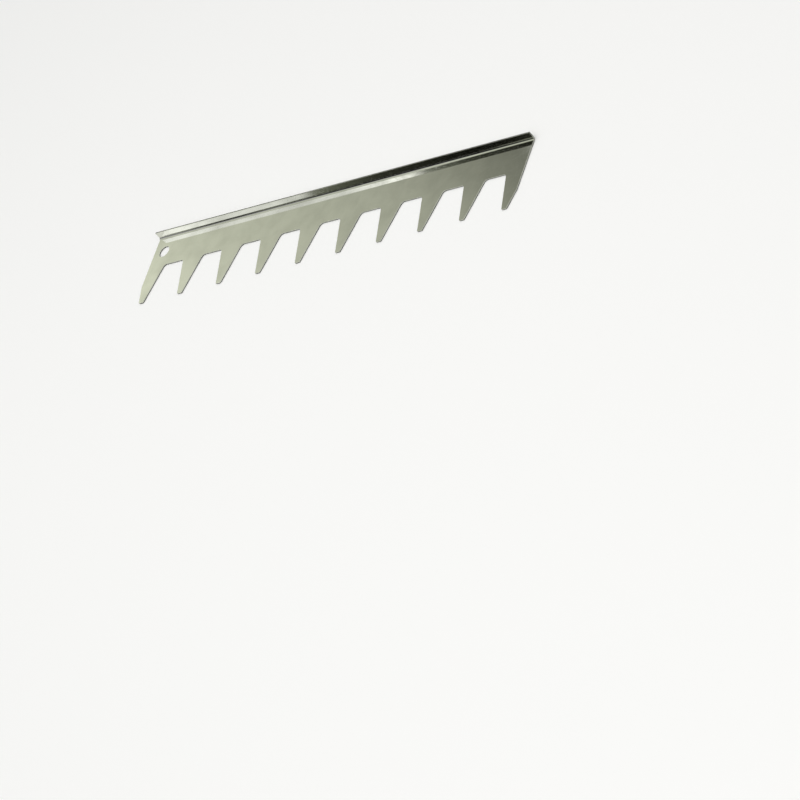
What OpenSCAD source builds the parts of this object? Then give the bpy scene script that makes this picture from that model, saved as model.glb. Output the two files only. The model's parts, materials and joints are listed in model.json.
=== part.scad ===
// Hive frame spacer: a toothed strip of stainless sheet with its back edge folded up.
// It lies on its lower face, teeth towards -Y, and its hanging hole is at the -X end.

/* [Teeth] */
// Number of teeth, one more than the gaps between them
tooth_count = 10; // [4:1:12]
// Distance between the centres of neighbouring teeth
tooth_pitch = 40; // [34:0.5:46]
// Length of a tooth from the root line to its tip
tooth_length = 32; // [24:0.5:42]
// Width of a tooth's flat tip
tip_width = 4.4; // [3:0.1:7]
// Width of a gap at the root line
root_gap = 19.8; // [14:0.1:23]
// Radius in the two inner corners of a gap
root_radius = 3; // [0.5:0.1:4]
// Radius on the two corners of a tip
tip_radius = 0.8; // [0.3:0.1:1.2]

/* [Sheet] */
// Thickness of the sheet
sheet_t = 1; // [0.6:0.1:1.5]
// Width of the strip from the root line to the outside of the flange
strip_width = 28; // [25:0.5:40]
// Length of sheet beyond the centre of an end tooth
end_reach = 6; // [4.5:0.1:8.5]

/* [Flange] */
// Height of the flange above the lower face of the blade
flange_height = 7; // [5:0.5:16]
// Inside radius of the fold
fold_radius = 2; // [0.5:0.1:3]
// Lean of the flange past the right angle, in degrees
flange_lean = 4; // [0:0.5:12]

/* [Hanging hole] */
// Diameter of the hole
hole_d = 9.4; // [5:0.1:11]
// Metal left between the hole and the end of the sheet
hole_margin = 5.5; // [3:0.1:10]
// Distance from the root line to the hole's centre
hole_rise = 12.9; // [9:0.1:14]

/* [Hidden] */
$fn = 64;
steel_grey = [0.72, 0.73, 0.7];
// Overshoot of a cut past the face that it opens
cut_past = 1;

// Outside sizes, centred on X and Y
length_x = (tooth_count - 1) * tooth_pitch + 2 * end_reach;
width_y = tooth_length + strip_width;
back_y = width_y / 2;
tip_y = -width_y / 2;
root_y = back_y - strip_width;

// Lean of a tooth's side and the half widths of a gap at its root and at the tips
half_root = root_gap / 2;
half_mouth = (tooth_pitch - tip_width) / 2;
lean = atan((half_mouth - half_root) / tooth_length);

// Fold: its outer radius, the lip that runs on from it, and the axis that it is bent around
fold_outer = fold_radius + sheet_t;
fold_z = fold_outer;
lip_length = (flange_height - fold_z + fold_radius * sin(flange_lean)) / cos(flange_lean);
fold_y = back_y - fold_outer * cos(flange_lean) - lip_length * sin(flange_lean);

hole_x = -length_x / 2 + hole_margin + hole_d / 2;
hole_y = root_y + hole_rise;

// Distance from a corner to where its rounding starts, for two sides that meet at 90 degrees plus the lean
function rounding_reach(radius) = radius / tan(45 + lean / 2);

// Space between two teeth, centred on X, with rounded inner corners and an open lower end
module gap_outline() {
    reach = rounding_reach(root_radius);
    side = [reach * sin(lean), -reach * cos(lean)];
    mouth = half_mouth + cut_past * tan(lean);
    polygon([
        [reach - half_root, root_y],
        [half_root - reach, root_y],
        [half_root + side[0], root_y + side[1]],
        [mouth, tip_y - cut_past],
        [-mouth, tip_y - cut_past],
        [-half_root - side[0], root_y + side[1]],
    ]);
    for (s = [-1, 1])
        translate([s * (half_root - reach), root_y - root_radius])
            circle(root_radius);
}

// Waste outside the rounded corner on the +X side of a tooth's tip
module tip_corner() {
    reach = rounding_reach(tip_radius);
    half_tip = tip_width / 2;
    centre = [half_tip - reach, tip_y + tip_radius];
    beyond = tip_radius + cut_past;
    difference() {
        polygon([
            centre,
            centre + [0, -beyond],
            [half_tip + cut_past, tip_y - cut_past],
            centre + beyond * [cos(lean), -sin(lean)],
        ]);
        translate(centre) circle(tip_radius);
    }
}

// Flat outline of the blade, up to the line where the fold begins
module blade_outline() {
    difference() {
        translate([-length_x / 2, tip_y]) square([length_x, fold_y - tip_y]);
        for (i = [0 : tooth_count])
            translate([(i - tooth_count / 2) * tooth_pitch, 0]) gap_outline();
        for (i = [0 : tooth_count - 1])
            translate([(i - (tooth_count - 1) / 2) * tooth_pitch, 0])
                for (s = [0, 1]) mirror([s, 0]) tip_corner();
        translate([hole_x, hole_y]) circle(d = hole_d);
    }
}

// Cross-section of the fold and the lip, with Y across the tool and Z up
module flange_section() {
    beyond = fold_outer + cut_past;
    translate([fold_y, fold_z]) {
        intersection() {
            difference() {
                circle(fold_outer);
                circle(fold_radius);
            }
            polygon([[0, 0], [0, -beyond], [beyond, -beyond], [beyond, -beyond * tan(flange_lean)]]);
        }
        rotate(-flange_lean) translate([fold_radius, 0]) square([sheet_t, lip_length]);
    }
}

module toothed_blade() {
    color(steel_grey) linear_extrude(sheet_t) blade_outline();
}

module back_flange() {
    color(steel_grey)
        translate([-length_x / 2, 0, 0])
            rotate([90, 0, 90]) linear_extrude(length_x) flange_section();
}

toothed_blade();
back_flange();
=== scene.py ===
# Looks of the hive frame spacer: one folded strip of stainless sheet, in metres, in the part's own frame
import json
import math

import bmesh
import bpy
from mathutils import Matrix, Vector


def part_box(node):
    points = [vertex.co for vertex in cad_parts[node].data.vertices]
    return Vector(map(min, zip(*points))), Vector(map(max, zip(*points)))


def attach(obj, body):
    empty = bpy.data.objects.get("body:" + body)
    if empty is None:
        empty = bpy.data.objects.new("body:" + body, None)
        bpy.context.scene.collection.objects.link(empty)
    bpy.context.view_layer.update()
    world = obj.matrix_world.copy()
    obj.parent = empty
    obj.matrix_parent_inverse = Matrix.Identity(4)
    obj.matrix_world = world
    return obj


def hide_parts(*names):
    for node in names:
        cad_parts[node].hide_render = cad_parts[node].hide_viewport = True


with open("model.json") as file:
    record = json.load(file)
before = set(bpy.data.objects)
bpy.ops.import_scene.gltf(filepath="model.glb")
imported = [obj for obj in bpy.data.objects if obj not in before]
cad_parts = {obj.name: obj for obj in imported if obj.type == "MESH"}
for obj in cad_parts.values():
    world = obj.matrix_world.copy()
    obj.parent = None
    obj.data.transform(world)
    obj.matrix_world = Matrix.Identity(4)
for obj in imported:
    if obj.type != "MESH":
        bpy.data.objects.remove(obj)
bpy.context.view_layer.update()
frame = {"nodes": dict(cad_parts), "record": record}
scene = bpy.context.scene
print("frame loaded:", sorted(frame["nodes"]))


def hexToLinear(code):
    parts = [int(code[i:i + 2], 16) / 255 for i in (1, 3, 5)]
    return [c / 12.92 if c <= 0.04045 else ((c + 0.055) / 1.055) ** 2.4 for c in parts] + [1.0]


# adds one node: settings are its properties, wires go to its inputs as values or as other nodes' outputs
def addNode(tree, kind, wires=None, **settings):
    made = tree.nodes.new("ShaderNode" + kind)
    for name, value in settings.items():
        setattr(made, name, value)
    for key, value in (wires or {}).items():
        if isinstance(value, bpy.types.NodeSocket):
            tree.links.new(value, made.inputs[key])
        else:
            made.inputs[key].default_value = value
    return made


def newTree(owner):
    owner.use_nodes = True
    owner.node_tree.nodes.clear()
    return owner.node_tree


# grey levels along a ramp: its two own stops are the ends, and the others go in between
def setRamp(rampNode, stops):
    marks = rampNode.color_ramp.elements
    ends = [(marks[0], stops[0]), (marks[1], stops[-1])]
    for mark, (place, level) in ends:
        mark.position, mark.color = place, (level, level, level, 1)
    for place, level in stops[1:-1]:
        marks.new(place).color = (level, level, level, 1)


# makes an object of a finished bmesh, which is freed
def addMesh(name, bm, material):
    mesh = bpy.data.meshes.new(name)
    bm.to_mesh(mesh)
    bm.free()
    mesh.materials.append(material)
    made = bpy.data.objects.new(name, mesh)
    scene.collection.objects.link(made)
    return made


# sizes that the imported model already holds
bladeLow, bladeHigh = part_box("toothed_blade")
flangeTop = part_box("back_flange")[1].z
record = frame["record"]
hole = next(m for m in record["mounts"] if m["name"] == "hanging_hole")
gapBoxes = [opening["box_m"] for opening in record["physics"]["openings"]]
gapCentres = sorted({round((low[0] + high[0]) / 2, 5) for low, high in gapBoxes})
sheetT = bladeHigh.z - bladeLow.z
foldY = bladeHigh.y
pitch = gapCentres[1] - gapCentres[0]

sheetSizes = {
    "toothLength": 0.032,
    "tipWidth": 0.0044,
    "rootGap": 0.0198,
    "rootRadius": 0.003,
    "tipRadius": 0.0008,
    "cornerSteps": 8,
    "foldRadius": 0.002,
    "flangeLean": math.radians(4),  # the fold springs back and stops short of the right angle
    "foldSteps": 24,
    "holeSquare": 1.3,  # half side of the square that the hole is rounded from, in hole radii
    "holeCuts": 23,  # on each side of that square
    "holeInset": 0.01,  # share of that half side
    "rimAngle": math.radians(50),  # edges sharper than this are rims
    "rollOver": 0.00025,  # rounded edge on the punch side
    "burrEdge": 0.00008,  # the die side stays sharper
    "edgeSteps": 3,
    "cutSnap": 1e-7,
    "weldSnap": 1e-6,
}


# one tooth and the strip behind it, from gap centre to gap centre, as a flat face on the sheet's upper side
def toothCell(bm, sizes, centreX):
    tipY = bladeLow.y
    rootY = tipY + sizes["toothLength"]
    halfTip = sizes["tipWidth"] / 2
    halfBase = (pitch - sizes["rootGap"]) / 2
    half = [(pitch / 2, foldY), (pitch / 2, rootY), (halfBase, rootY), (halfTip, tipY)]
    outline = [(-x, y) for x, y in half] + half[::-1]
    corners = [bm.verts.new((centreX + x, y, bladeHigh.z)) for x, y in outline]
    bm.faces.new(corners)
    turn = math.pi / 2 + math.atan((halfBase - halfTip) / sizes["toothLength"])  # angle inside each corner
    rootCorners, tipCorners = corners[2:6:3], corners[3:5]
    for picked, radius in ((rootCorners, sizes["rootRadius"]), (tipCorners, sizes["tipRadius"])):
        bmesh.ops.bevel(bm, geom=picked, offset=radius / math.tan(turn / 2), offset_type="OFFSET",
                        segments=sizes["cornerSteps"], profile=0.5, affect="VERTICES", material=-1)


def trimEnds(bm, sizes):
    for endX, side in ((bladeLow.x, -1), (bladeHigh.x, 1)):
        bmesh.ops.bisect_plane(bm, geom=bm.verts[:] + bm.edges[:] + bm.faces[:], dist=sizes["cutSnap"],
                               plane_co=(endX, 0, 0), plane_no=(side, 0, 0), clear_outer=True)


def faceAt(bm, point):
    return min(bm.faces, key=lambda f: (f.calc_center_bounds() - point).length)


# a square is cut out of the flat strip, and its inset is drawn onto the hole's circle
def pierceHole(bm, sizes):
    centre = Vector(hole["pos_m"])
    centre.z = bladeHigh.z
    radius = hole["dims"]["r_mm"] / 1000
    reach = radius * sizes["holeSquare"]
    for axis in (Vector((1, 0, 0)), Vector((0, 1, 0))):
        for side in (-1, 1):
            near = [f for f in bm.faces if min(v.co.x for v in f.verts) < centre.x + reach]
            cut = dict.fromkeys(near + [part for f in near for part in (*f.edges, *f.verts)])
            bmesh.ops.bisect_plane(bm, geom=list(cut), dist=sizes["cutSnap"],
                                   plane_co=centre + axis * side * reach, plane_no=axis)
    square = faceAt(bm, centre)
    bmesh.ops.subdivide_edges(bm, edges=square.edges[:], cuts=sizes["holeCuts"], use_grid_fill=False)
    square = faceAt(bm, centre)
    bmesh.ops.inset_individual(bm, faces=[square], thickness=reach * sizes["holeInset"])
    for v in square.verts:
        v.co = centre + (v.co - centre).normalized() * radius
    bmesh.ops.delete(bm, geom=[square], context="FACES")


def foldFlange(bm, sizes):
    lean = sizes["flangeLean"]
    backEdges = [e for e in bm.edges if all(abs(v.co.y - foldY) < sizes["weldSnap"] for v in e.verts)]
    bendAxis = (0, foldY, bladeHigh.z + sizes["foldRadius"])
    swept = bmesh.ops.spin(bm, geom=backEdges, cent=bendAxis, axis=(1, 0, 0),
                           angle=math.pi / 2 - lean, steps=sizes["foldSteps"])
    lastEdges = [g for g in swept["geom_last"] if isinstance(g, bmesh.types.BMEdge)]
    lip = bmesh.ops.extrude_edge_only(bm, edges=lastEdges)
    lipVerts = [g for g in lip["geom"] if isinstance(g, bmesh.types.BMVert)]
    rise = flangeTop - lipVerts[0].co.z
    bmesh.ops.translate(bm, verts=lipVerts, vec=(0, rise * math.tan(lean), rise))


# thickness goes down and outwards from the upper side; depth runs from 0 there to 1 on the lower side
def thicken(bm):
    depth = bm.verts.layers.float.new("depth")
    bmesh.ops.recalc_face_normals(bm, faces=bm.faces[:])
    if min(bm.faces, key=lambda f: f.calc_center_bounds().y).normal.z < 0:
        bmesh.ops.reverse_faces(bm, faces=bm.faces[:])
    upper = set(bm.verts)
    bmesh.ops.solidify(bm, geom=bm.faces[:], thickness=sheetT)
    bmesh.ops.recalc_face_normals(bm, faces=bm.faces[:])
    for v in bm.verts:
        v[depth] = 0.0 if v in upper else 1.0
    return upper


# the cut edge is rolled over on the upper side and only deburred on the lower one
def roundRims(bm, sizes, upper):
    rims = [e for e in bm.edges if e.calc_face_angle() > sizes["rimAngle"]]
    sides = {"rollOver": [e for e in rims if all(v in upper for v in e.verts)],
             "burrEdge": [e for e in rims if not any(v in upper for v in e.verts)]}
    for name, edges in sides.items():
        bmesh.ops.bevel(bm, geom=edges, offset=sizes[name], offset_type="OFFSET",
                        segments=sizes["edgeSteps"], profile=0.5, affect="EDGES", material=-1,
                        clamp_overlap=True)


# keeps one side of the line where the fold begins, and closes the cut
def sheetPiece(bm, name, isFlange, node, material):
    part = bm.copy()
    away = [f for f in part.faces if (f.calc_center_median().y > foldY) != isFlange]
    bmesh.ops.delete(part, geom=away, context="FACES")
    rim = [e for e in part.edges if e.is_boundary]
    bmesh.ops.holes_fill(part, edges=rim, sides=0)
    for e in rim:
        e.smooth = False
    for f in part.faces:
        f.smooth = True
    piece = addMesh(name, part, material)
    normals = piece.modifiers.new("flatNormals", "WEIGHTED_NORMAL")  # flats stay flat up to the rounded rim
    normals.keep_sharp = True
    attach(piece, "root")
    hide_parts(node)
    print("piece made:", name, len(piece.data.polygons), "faces")


steelFinish = {
    "steel": "#d9dbcf",
    "dulled": "#ced0c4",  # where handling has rubbed it
    "tornEdge": "#636460",  # lower part of a punched edge
    "tornRamp": [(0.0, 0.0), (0.33, 0.08), (0.42, 1.0), (0.93, 1.0), (1.0, 0.0)],  # along the edge's depth
    "tornRough": 0.28,  # this and the shares below add to the sheet's own roughness
    "creaseShade": "#74756c",  # painted shade: a dark line drawn into the inside of the fold
    "creaseShadeFrom": 0.0013,
    "creaseShadeTo": 0.002,
    "creaseShadeRamp": [(0.0, 0.0), (0.3, 1.0), (0.7, 1.0), (1.0, 0.0)],
    "skin": 0.02,  # depth that still counts as a face of the sheet
    "clean": 0.045,
    "touched": 0.075,
    "touchedPatch": 0.018,
    "touchedFrom": 0.4,
    "touchedTo": 0.68,
    "grainLength": 0.04,
    "grainWidth": 0.0004,  # the real grain is near 0.05 mm, drawn coarser to show
    "grainHeight": 8e-7,
    "grainRough": 0.03,
    "waveLength": 0.045,  # sheet is never quite flat
    "waveHeight": 6e-6,
    "scratchLength": 0.05,
    "scratchWidth": 0.0008,  # real ones are hairlines, drawn coarser to show
    "scratchTurns": (0.35, -1.1),
    "scratchRamp": [(0.70, 0.0), (0.73, 1.0), (0.76, 0.0)],
    "scratchRough": 0.10,
    "scuffWidth": 0.0009,
    "scuffReach": 0.012,  # length of a tooth that gets rubbed
    "scuffRough": 0.12,
    "dieLineHalf": 0.0005,
    "dieRamp": [(0.0, 0.0), (0.5, 1.0), (1.0, 0.0)],
    "dieRough": 0.12,
}


# cold-rolled stainless sheet, bright annealed: a soft mirror with a faint grain along the rolling
# direction, hairline scratches, dulled patches, and edges half burnished and half torn by the punch
def stainlessSheet(name, finish, scratchAxis, dieLine):
    material = bpy.data.materials.new(name)
    tree = newTree(material)
    where = addNode(tree, "TexCoord").outputs["Object"]
    axes = addNode(tree, "SeparateXYZ", {"Vector": where})
    depth = addNode(tree, "Attribute", attribute_name="depth").outputs["Fac"]

    fine = 1 / finish["grainWidth"]
    grainPlace = addNode(tree, "Mapping", {
        "Vector": where, "Scale": (1 / finish["grainLength"], fine, fine)})
    grain = addNode(tree, "TexNoise", {
        "Vector": grainPlace.outputs["Vector"], "Scale": 1.0, "Detail": 2.0})
    waves = addNode(tree, "TexNoise", {"Vector": where, "Scale": 1 / finish["waveLength"], "Detail": 1.0})
    patches = addNode(tree, "TexNoise", {
        "Vector": where, "Scale": 1 / finish["touchedPatch"], "Detail": 3.0})
    touched = addNode(tree, "MapRange", {
        "Value": patches.outputs["Fac"],
        "From Min": finish["touchedFrom"], "From Max": finish["touchedTo"]})

    # two sets of scratches, each a thin slice of a long drawn-out noise
    marks = None
    thin = 1 / finish["scratchWidth"]
    for turn in finish["scratchTurns"]:
        turned = [turn if axis == scratchAxis else 0.0 for axis in "XYZ"]
        place = addNode(tree, "Mapping", {"Vector": where, "Rotation": turned}, vector_type="TEXTURE")
        stretch = addNode(tree, "Mapping", {
            "Vector": place.outputs["Vector"], "Scale": (1 / finish["scratchLength"], thin, thin)})
        lines = addNode(tree, "TexNoise", {
            "Vector": stretch.outputs["Vector"], "Scale": 1.0, "Detail": 0.0})
        cut = addNode(tree, "ValToRGB", {"Fac": lines.outputs["Fac"]})
        setRamp(cut, finish["scratchRamp"])
        marks = cut.outputs["Color"] if marks is None else addNode(
            tree, "Math", {0: marks, 1: cut.outputs["Color"]}, operation="MAXIMUM").outputs["Value"]

    # teeth rub lengthwise near their tips
    across = 1 / finish["scuffWidth"]
    scuffPlace = addNode(tree, "Mapping", {
        "Vector": where, "Scale": (across, 1 / finish["scuffReach"], across)})
    scuffLines = addNode(tree, "TexNoise", {
        "Vector": scuffPlace.outputs["Vector"], "Scale": 1.0, "Detail": 1.0})
    nearTip = addNode(tree, "MapRange", {
        "Value": axes.outputs["Y"], "From Min": bladeLow.y + finish["scuffReach"], "From Max": bladeLow.y})
    scuffs = addNode(tree, "Math", {
        0: scuffLines.outputs["Fac"], 1: nearTip.outputs["Result"]}, operation="MULTIPLY")

    # faint line where the die's shoulder pressed on the outside of the bend
    lineAxis, lineAt = dieLine
    pressed = addNode(tree, "MapRange", {
        "Value": axes.outputs[lineAxis],
        "From Min": lineAt - finish["dieLineHalf"], "From Max": lineAt + finish["dieLineHalf"]})
    pressedLine = addNode(tree, "ValToRGB", {"Fac": pressed.outputs["Result"]})
    setRamp(pressedLine, finish["dieRamp"])
    outside = addNode(tree, "Math", {0: depth, 1: 1 - finish["skin"]}, operation="GREATER_THAN")
    dieMark = addNode(tree, "Math", {
        0: pressedLine.outputs["Color"], 1: outside.outputs["Value"]}, operation="MULTIPLY")

    # painted shade: a dark line low in the inside of the fold, where the crease looks shaded
    low = addNode(tree, "MapRange", {
        "Value": axes.outputs["Z"], "From Min": finish["creaseShadeFrom"], "From Max": finish["creaseShadeTo"]})
    lowLine = addNode(tree, "ValToRGB", {"Fac": low.outputs["Result"]})
    setRamp(lowLine, finish["creaseShadeRamp"])
    inside = addNode(tree, "Math", {0: depth, 1: finish["skin"]}, operation="LESS_THAN")
    creaseShade = addNode(tree, "Math", {
        0: lowLine.outputs["Color"], 1: inside.outputs["Value"]}, operation="MULTIPLY")

    # a punched edge: burnished for a third of its depth, torn for the rest
    torn = addNode(tree, "ValToRGB", {"Fac": depth})
    setRamp(torn, finish["tornRamp"])

    rough = addNode(tree, "MapRange", {
        "Value": touched.outputs["Result"],
        "To Min": finish["clean"], "To Max": finish["touched"]}).outputs["Result"]
    for amount, share in ((grain.outputs["Fac"], "grainRough"), (marks, "scratchRough"),
                          (scuffs.outputs["Value"], "scuffRough"), (dieMark.outputs["Value"], "dieRough"),
                          (torn.outputs["Color"], "tornRough")):
        rough = addNode(tree, "Math", {
            0: amount, 1: finish[share], 2: rough}, operation="MULTIPLY_ADD").outputs["Value"]

    worn = addNode(tree, "Mix", {
        0: touched.outputs["Result"], 6: hexToLinear(finish["steel"]), 7: hexToLinear(finish["dulled"])},
        data_type="RGBA")
    # the fold's painted shade is laid over the worn steel colour
    wornAndCreaseShaded = addNode(tree, "Mix", {
        0: creaseShade.outputs["Value"], 6: worn.outputs[2], 7: hexToLinear(finish["creaseShade"])},
        data_type="RGBA")
    colour = addNode(tree, "Mix", {
        0: torn.outputs["Color"], 6: wornAndCreaseShaded.outputs[2], 7: hexToLinear(finish["tornEdge"])},
        data_type="RGBA")

    swell = addNode(tree, "Bump", {"Height": waves.outputs["Fac"], "Distance": finish["waveHeight"]})
    relief = addNode(tree, "Bump", {
        "Height": grain.outputs["Fac"], "Distance": finish["grainHeight"],
        "Normal": swell.outputs["Normal"]})
    shader = addNode(tree, "BsdfPrincipled", {
        "Base Color": colour.outputs[2], "Metallic": 1.0, "Roughness": rough,
        "Normal": relief.outputs["Normal"]})
    addNode(tree, "OutputMaterial", {"Surface": shader.outputs["BSDF"]})
    return material


sheetBm = bmesh.new()
for i in range(len(gapCentres) + 1):
    toothCell(sheetBm, sheetSizes, gapCentres[0] + (i - 0.5) * pitch)
bmesh.ops.remove_doubles(sheetBm, verts=sheetBm.verts[:], dist=sheetSizes["weldSnap"])
trimEnds(sheetBm, sheetSizes)
pierceHole(sheetBm, sheetSizes)
foldFlange(sheetBm, sheetSizes)
roundRims(sheetBm, sheetSizes, thicken(sheetBm))

# where the die's shoulder met each side of the bend
dieLines = {"blade": ("Y", 0.0228), "flange": ("Z", 0.0058)}
bladeSteel = stainlessSheet("bladeStainlessBrightAnnealed", steelFinish, "Z", dieLines["blade"])
flangeSteel = stainlessSheet("flangeStainlessBrightAnnealed", steelFinish, "Y", dieLines["flange"])
sheetPiece(sheetBm, "bladeSheet", False, "toothed_blade", bladeSteel)
sheetPiece(sheetBm, "flangeSheet", True, "back_flange", flangeSteel)
sheetBm.free()


# camera: where its axis meets the floor, and how it stands to that point
cameraSetup = {
    "aim": (0.1425, -0.1801, 0.0),
    "azimuth": 53.86,  # degrees, as are the next two
    "elevation": 31.99,
    "roll": -49.1,
    "distance": 4.112,
    "lens": 277.2,  # millimetres, as is the sensor's width
    "sensor": 36,
    "farClip": 50,
}


def addCamera(setup):
    turn, rise = math.radians(setup["azimuth"]), math.radians(setup["elevation"])
    back = Vector((math.sin(turn) * math.cos(rise), -math.cos(turn) * math.cos(rise), math.sin(rise)))
    data = bpy.data.cameras.new("photoCamera")
    data.sensor_width = setup["sensor"]
    data.lens = setup["lens"]
    data.clip_end = setup["farClip"]
    cam = bpy.data.objects.new("photoCamera", data)
    facing = (-back).to_track_quat("-Z", "Y").to_matrix().to_4x4()
    place = Matrix.Translation(Vector(setup["aim"]) + back * setup["distance"])
    cam.matrix_world = place @ facing @ Matrix.Rotation(math.radians(setup["roll"]), 4, "Z")
    scene.collection.objects.link(cam)
    scene.camera = cam
    print("camera at", [round(x, 3) for x in cam.matrix_world.translation])


addCamera(cameraSetup)

# plain white floor just under the part
floorLook = {"halfSide": 20, "below": 0.0002, "colour": "#f8f8f6"}


def addFloor(look):
    bm = bmesh.new()
    bmesh.ops.create_grid(bm, x_segments=1, y_segments=1, size=look["halfSide"])
    bmesh.ops.translate(bm, verts=bm.verts[:], vec=(0, 0, -look["below"]))
    material = bpy.data.materials.new("paleFloor")
    tree = newTree(material)
    shader = addNode(tree, "BsdfDiffuse", {"Color": hexToLinear(look["colour"])})
    addNode(tree, "OutputMaterial", {"Surface": shader.outputs["BSDF"]})
    addMesh("floor", bm, material)


addFloor(floorLook)

# grey studio air, darker at the level of the floor and lighter overhead, with soft uneven parts around
studioAir = {
    "upwards": [(0.0, 0.22), (0.45, 0.38), (1.0, 0.75)],
    "partScale": 2.2,
    "partFrom": (0.3, 0.7),
    "partTo": (0.6, 1.4),
}


def addWorld(air):
    world = bpy.data.worlds.new("studio")
    scene.world = world
    tree = newTree(world)
    where = addNode(tree, "TexCoord").outputs["Generated"]
    axes = addNode(tree, "SeparateXYZ", {"Vector": where})
    ramp = addNode(tree, "ValToRGB", {"Fac": axes.outputs["Z"]})
    setRamp(ramp, air["upwards"])
    parts = addNode(tree, "TexNoise", {"Vector": where, "Scale": air["partScale"], "Detail": 0.0})
    uneven = addNode(tree, "MapRange", {
        "Value": parts.outputs["Fac"], "From Min": air["partFrom"][0], "From Max": air["partFrom"][1],
        "To Min": air["partTo"][0], "To Max": air["partTo"][1]})
    shade = addNode(tree, "Background", {
        "Color": ramp.outputs["Color"], "Strength": uneven.outputs["Result"]})
    addNode(tree, "OutputWorld", {"Surface": shade.outputs["Background"]})


addWorld(studioAir)
scene.view_settings.view_transform = "Standard"

softLights = {
    "topLight": {"place": (-0.5, 0.0, 1.2), "target": (-0.5, 0, 0), "size": (1.8, 1.1), "power": 4.6},
    "fillLight": {"place": (1.0, -0.9, 1.6), "target": (0.1, -0.1, 0), "size": (2, 2), "power": 16.5},
}


def addSoftLight(name, light):
    data = bpy.data.lights.new(name, "AREA")
    data.shape = "RECTANGLE"
    data.size, data.size_y = light["size"]
    data.energy = light["power"]
    lamp = bpy.data.objects.new(name, data)
    aim = Vector(light["target"]) - Vector(light["place"])
    facing = aim.to_track_quat("-Z", "Y").to_matrix().to_4x4()
    lamp.matrix_world = Matrix.Translation(light["place"]) @ facing
    lamp.visible_camera = lamp.visible_glossy = False  # the steel sees the cards and the air instead
    scene.collection.objects.link(lamp)


for lightName, lightSetup in softLights.items():
    addSoftLight(lightName, lightSetup)
print("lights:", sorted(softLights))

# cards that only the steel sees: each one's brightness runs along X, from its low end to its high one,
# and soft is the share of the height over which its upper and lower ends fade away
studioCards = {
    "backCard": {
        "x": (-1.0, -0.4), "y": (0.5, 0.5), "z": (0.1, 1.0), "tint": "#fdfff0",
        "stops": [(0.0, 1.05), (0.2, 0.86), (0.3, 0.73), (0.5, 0.61), (0.73, 0.48), (0.85, 0.34),
                  (1.0, 0.18)]},
    "topCard": {
        "x": (-1.0, 0.7), "y": (-0.2, 0.5), "z": (0.6, 0.6), "tint": "#fdfff4",
        "stops": [(0.0, 0.8), (0.28, 0.62), (0.42, 0.72), (0.75, 0.38), (1.0, 0.3)]},
    "frontDark": {
        "x": (-0.46, -0.06), "y": (-0.26, -0.26), "z": (-0.04, 0.54), "tint": "#fbffee", "soft": 0.12,
        "stops": [(0.0, 0.3), (0.1, 0.02), (0.2, 0.02), (0.24, 0.22), (0.41, 0.05), (0.62, 0.01),
                  (0.83, 0.01), (1.0, 0.3)]},
    "frontLow": {
        "x": (-0.62, -0.348), "y": (-0.242, -0.242), "z": (0.165, 0.27), "tint": "#f4f2ff",
        "stops": [(0.0, 0.8), (0.32, 2.1), (0.5, 1.9), (0.64, 1.52), (1.0, 1.48)]},
    "frontHigh": {
        "x": (-0.78, -0.335), "y": (-0.242, -0.242), "z": (0.32, 0.48), "tint": "#f4f2ff",
        "stops": [(0.0, 0.8), (0.28, 2.0), (0.5, 1.58), (0.7, 1.36), (0.8, 1.45), (1.0, 2.4)]},
}


def cardMaterial(name, card, low, high):
    material = bpy.data.materials.new(name)
    tree = newTree(material)
    where = addNode(tree, "TexCoord")
    axes = addNode(tree, "SeparateXYZ", {"Vector": where.outputs["Object"]})
    along = addNode(tree, "MapRange", {"Value": axes.outputs["X"], "From Min": low.x, "From Max": high.x})
    ramp = addNode(tree, "ValToRGB", {"Fac": along.outputs["Result"]})
    setRamp(ramp, card["stops"])
    glow = addNode(tree, "Emission", {
        "Color": hexToLinear(card["tint"]), "Strength": ramp.outputs["Color"]})
    shown = glow.outputs["Emission"]
    if "soft" in card:
        up = addNode(tree, "MapRange", {"Value": axes.outputs["Z"], "From Min": low.z, "From Max": high.z})
        inwards = addNode(tree, "Math", {0: up.outputs["Result"], 1: 0.5}, operation="PINGPONG")
        fade = addNode(tree, "MapRange", {"Value": inwards.outputs["Value"], "From Max": card["soft"]},
                       interpolation_type="SMOOTHSTEP")
        clear = addNode(tree, "BsdfTransparent")
        shown = addNode(tree, "MixShader", {
            0: fade.outputs["Result"], 1: clear.outputs["BSDF"], 2: shown}).outputs["Shader"]
    addNode(tree, "OutputMaterial", {"Surface": shown})
    return material


def addCard(name, card):
    low, high = (Vector(corner) for corner in zip(card["x"], card["y"], card["z"]))
    size = high - low
    bm = bmesh.new()
    bmesh.ops.create_grid(bm, x_segments=1, y_segments=1, size=0.5)
    if size.y < size.z:
        bmesh.ops.rotate(bm, verts=bm.verts[:], matrix=Matrix.Rotation(math.pi / 2, 3, "X"))
    bmesh.ops.scale(bm, verts=bm.verts[:], vec=size)
    bmesh.ops.translate(bm, verts=bm.verts[:], vec=(low + high) / 2)
    sheet = addMesh(name, bm, cardMaterial(name, card, low, high))
    sheet.visible_camera = sheet.visible_diffuse = sheet.visible_shadow = False


for cardName, cardSetup in studioCards.items():
    addCard(cardName, cardSetup)
print("studio cards:", sorted(studioCards))
